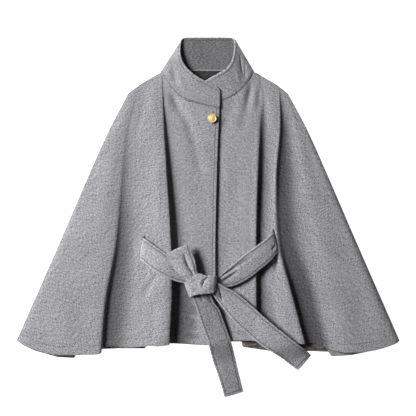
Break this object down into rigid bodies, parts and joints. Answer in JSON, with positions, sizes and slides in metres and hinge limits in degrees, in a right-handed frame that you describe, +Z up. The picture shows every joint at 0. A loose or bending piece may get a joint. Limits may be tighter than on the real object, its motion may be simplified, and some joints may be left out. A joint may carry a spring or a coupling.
{
  "type": "wool cape coat",
  "caption": "Short flared cape coat in grey wool with a tall stand collar, a hidden front closing, a metal button and a tie belt knotted in a half bow, laid flat.",
  "frame": {"origin": "on the surface the coat lies on, under the middle of its outline", "axes": "+X towards the wearer's left, +Y towards the collar, +Z up out of the surface"},
  "size_m": [0.9203, 0.8638, 0.0437],
  "materials": {
    "wool": "heathered grey wool coating with a soft short nap",
    "lining": "dark brown-grey satin lining",
    "gold": "polished gold-coloured metal"
  },
  "bodies": {
    "root": {"back_panel": "wool", "neck_facing": "lining", "hem_lining_left": "lining", "hem_lining_right": "lining", "right_front": "wool", "left_front": "wool", "stand_collar": "wool", "belt_back": "wool", "belt_left": "wool", "belt_right": "wool", "belt_loop": "wool", "belt_tail_down": "wool", "belt_tail_side": "wool", "belt_knot": "wool", "button": "gold"}
  },
  "joints": []
}
